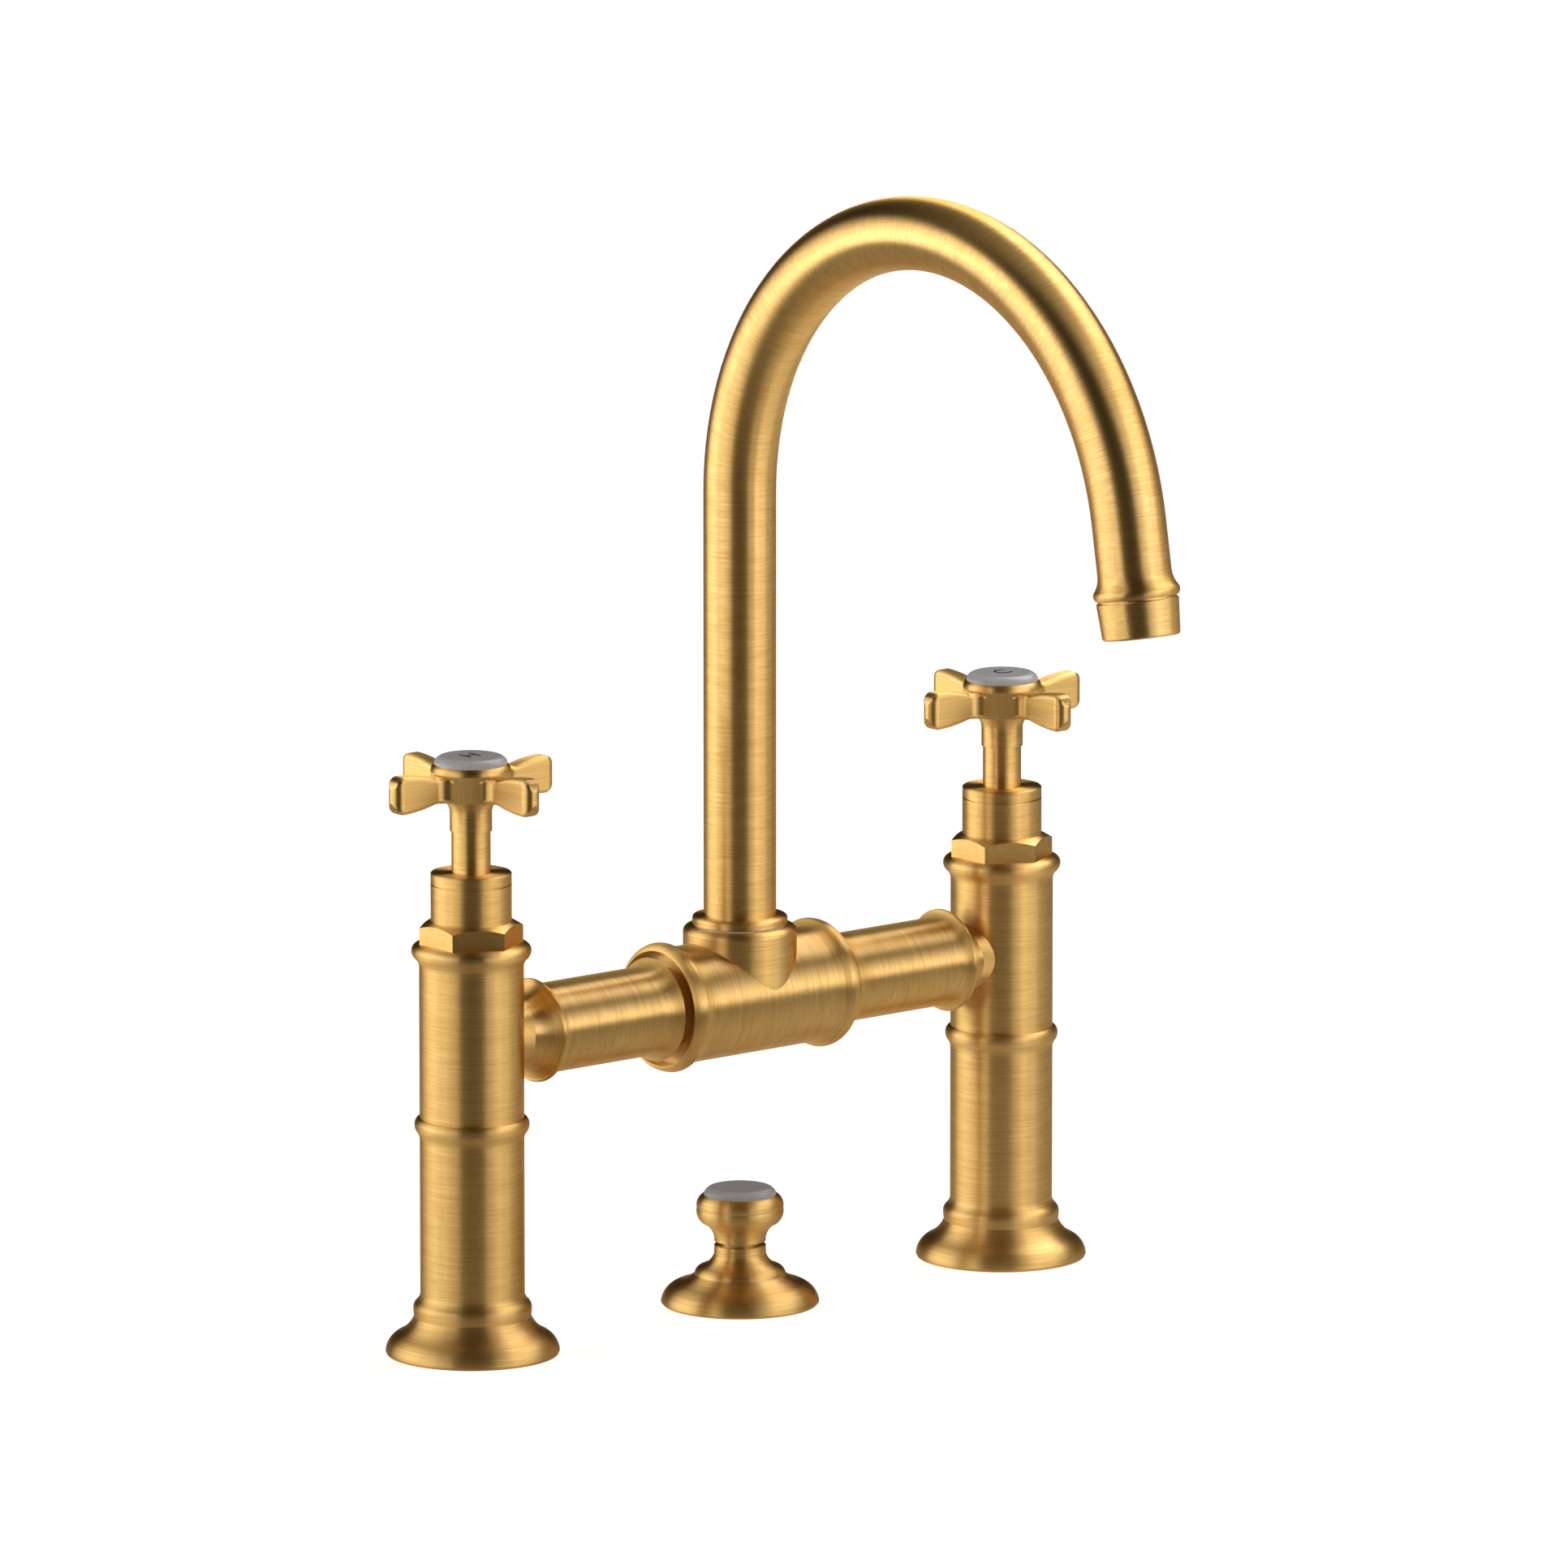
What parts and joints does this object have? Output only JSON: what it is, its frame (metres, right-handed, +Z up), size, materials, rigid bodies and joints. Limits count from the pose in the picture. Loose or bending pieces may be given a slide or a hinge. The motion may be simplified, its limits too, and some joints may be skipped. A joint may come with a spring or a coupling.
{
  "type": "two-handle basin mixer",
  "caption": "Deck-mounted bridge mixer in brushed gold with cross handles, a swivelling gooseneck spout and a pull knob for the pop-up waste.",
  "frame": {"origin": "on the deck, midway between the two pillars, which is the centre of the pull knob's rosette", "axes": "+Z up, +X along the bridge from the hot pillar to the cold one, -Y the way the spout points"},
  "size_m": [0.2582, 0.2156, 0.4401],
  "materials": {
    "brushed_gold": "satin",
    "white_ceramic": "gloss",
    "raw_brass": "satin",
    "black_rubber": "matte",
    "steel": "satin",
    "alumina": "matte",
    "white_plastic": "matte"
  },
  "bodies": {
    "bridge": {"hot_base_flange": "brushed_gold", "hot_lower_column": "brushed_gold", "hot_tail": "raw_brass", "hot_valve_body": "brushed_gold", "hot_headpart_body": "raw_brass", "hot_fixed_disc": "alumina", "hot_bonnet_nut": "brushed_gold", "hot_bonnet_sleeve": "brushed_gold", "hot_bonnet_ring": "brushed_gold", "hot_bridge_tube": "brushed_gold", "cold_base_flange": "brushed_gold", "cold_lower_column": "brushed_gold", "cold_tail": "raw_brass", "cold_valve_body": "brushed_gold", "cold_headpart_body": "raw_brass", "cold_fixed_disc": "alumina", "cold_bonnet_nut": "brushed_gold", "cold_bonnet_sleeve": "brushed_gold", "cold_bonnet_ring": "brushed_gold", "cold_bridge_tube": "brushed_gold", "base_gaskets": "black_rubber", "tail_seals": "black_rubber", "seat_seals": "black_rubber", "headpart_orings": "black_rubber", "bridge_orings": "black_rubber", "clamp_rubbers": "black_rubber", "clamp_washers": "steel", "backnuts": "raw_brass", "bridge_body": "brushed_gold", "spout_stop_screw": "steel", "spout_slide_ring": "white_plastic", "waste_rosette": "brushed_gold", "waste_bush": "raw_brass", "waste_washer": "steel", "waste_nut": "raw_brass"},
    "hot_handle": {"hot_turning_disc": "alumina", "hot_spindle": "raw_brass", "hot_spindle_clip": "steel", "hot_spindle_orings": "black_rubber", "hot_stem_sleeve": "brushed_gold", "hot_cross_handle": "brushed_gold", "hot_handle_screw": "steel", "hot_handle_button": "white_ceramic"},
    "cold_handle": {"cold_turning_disc": "alumina", "cold_spindle": "raw_brass", "cold_spindle_clip": "steel", "cold_spindle_orings": "black_rubber", "cold_stem_sleeve": "brushed_gold", "cold_cross_handle": "brushed_gold", "cold_handle_screw": "steel", "cold_handle_button": "white_ceramic"},
    "spout": {"spout_collar": "brushed_gold", "spout_orings": "black_rubber", "spout_tube": "brushed_gold", "aerator_housing": "brushed_gold", "aerator_gasket": "black_rubber", "aerator_insert": "white_plastic"},
    "waste_pull": {"waste_knob": "brushed_gold", "waste_knob_button": "white_ceramic", "waste_rod": "steel"}
  },
  "joints": [
    {"name": "hot_valve", "type": "hinge", "parent": "bridge", "child": "hot_handle", "pos_m": [-0.1, 0, 0.1659], "axis": [0, 0, 1], "range_deg": [0, 180]},
    {"name": "cold_valve", "type": "hinge", "parent": "bridge", "child": "cold_handle", "pos_m": [0.1, 0, 0.1659], "axis": [0, 0, 1], "range_deg": [0, 180]},
    {"name": "spout_swivel", "type": "hinge", "parent": "bridge", "child": "spout", "pos_m": [0, 0, 0.1125], "axis": [0, 0, 1], "range_deg": [-60, 60]},
    {"name": "waste_lift", "type": "slide", "parent": "bridge", "child": "waste_pull", "axis": [0, 0, 1], "range_m": [0, 0.02]}
  ]
}
